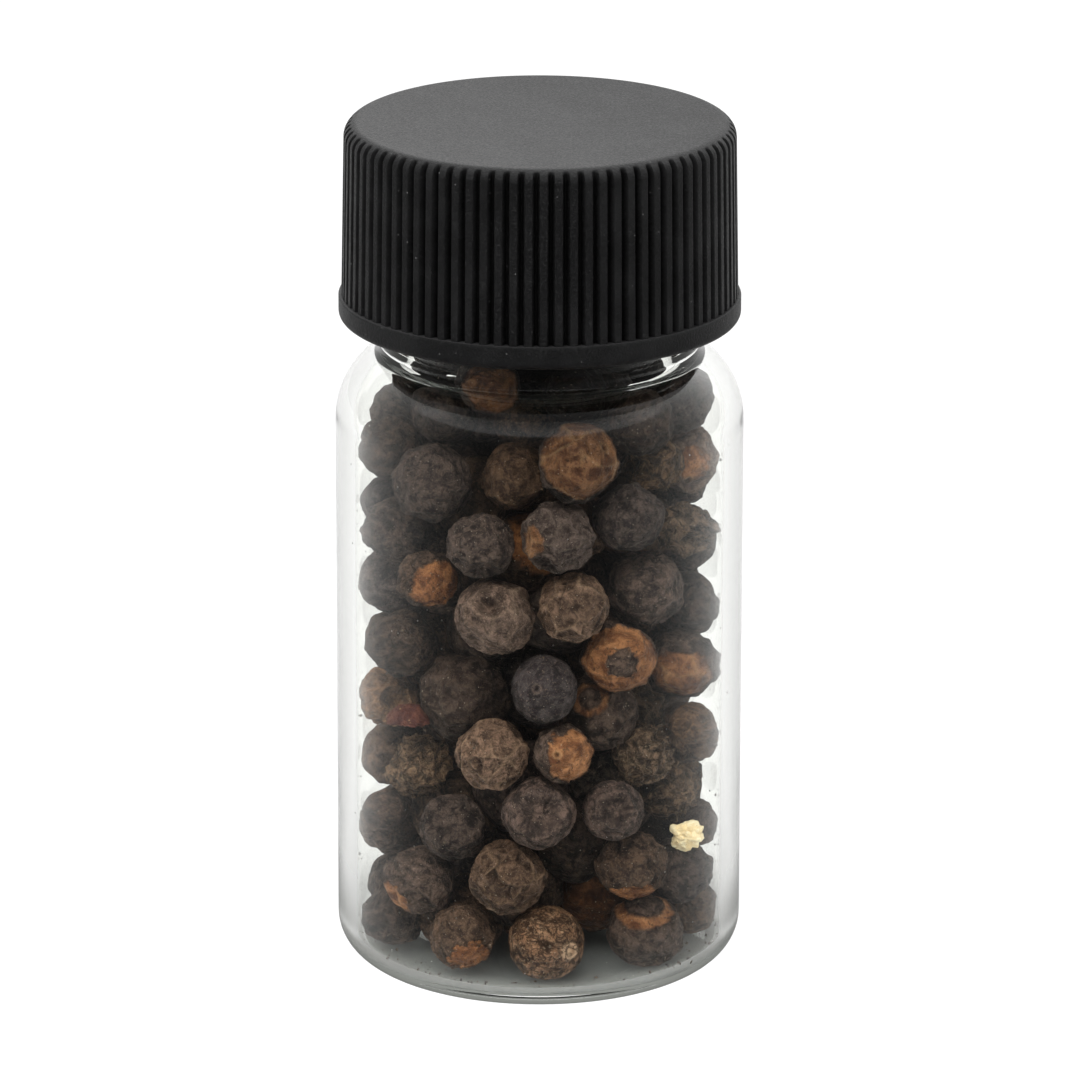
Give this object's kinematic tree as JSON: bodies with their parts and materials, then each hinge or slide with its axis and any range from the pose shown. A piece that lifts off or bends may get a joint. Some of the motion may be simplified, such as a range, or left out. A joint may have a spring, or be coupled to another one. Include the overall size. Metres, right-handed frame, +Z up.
{
  "type": "glass sample vial",
  "caption": "Round clear glass vial with a rounded shoulder, a screw neck and a ribbed black screw cap over a sealing liner, filled with whole black peppercorns.",
  "frame": {"origin": "middle of the base, on the plane that the vial stands on", "axes": "+Z up along the vial's axis towards the cap; -Y towards the viewer of the picture; +X to its right"},
  "size_m": [0.0274, 0.0274, 0.0585],
  "materials": {
    "clear_glass": "clear, polished, with fine dust specks",
    "cap_plastic": "matte moulded plastic with a fine grain",
    "liner_foam": "smooth closed-cell foam",
    "corn_black": "dry, dark, finely wrinkled",
    "corn_brown": "dry, brown, netted with ridges",
    "corn_husked": "dark husk with bare orange-brown seed",
    "corn_tan": "dry, pale brown, rough",
    "corn_dented": "dry, dark, sunken on one side",
    "corn_angular": "dry, rough and angular",
    "corn_oval": "dry, smooth, blue-black",
    "corn_mottled": "tan with dark mottling",
    "corn_crumb": "cream, crumbly",
    "corn_husk": "thin red-brown husk"
  },
  "bodies": {
    "vial": {"vial": "clear_glass", "corns_black": "corn_black", "corns_brown": "corn_brown", "corns_husked": "corn_husked", "corns_tan": "corn_tan", "corns_dented": "corn_dented", "corns_angular": "corn_angular", "corn_oval": "corn_oval", "corn_mottled": "corn_mottled", "crumb": "corn_crumb", "husk_flake": "corn_husk"},
    "liner": {"liner": "liner_foam"},
    "cap": {"cap": "cap_plastic"}
  },
  "joints": [
    {"name": "cap_lift", "type": "slide", "parent": "vial", "child": "liner", "axis": [0, 0, 1], "range_m": [0, 0.016]},
    {"name": "cap_turn", "type": "hinge", "parent": "liner", "child": "cap", "pos_m": [0, 0, 0.0568], "axis": [0, 0, 1], "range_deg": [0, 1800]}
  ],
  "couplings": [
    {"joint": "cap_lift", "follows": "cap_turn", "m_per_rad": 0.00050532}
  ]
}
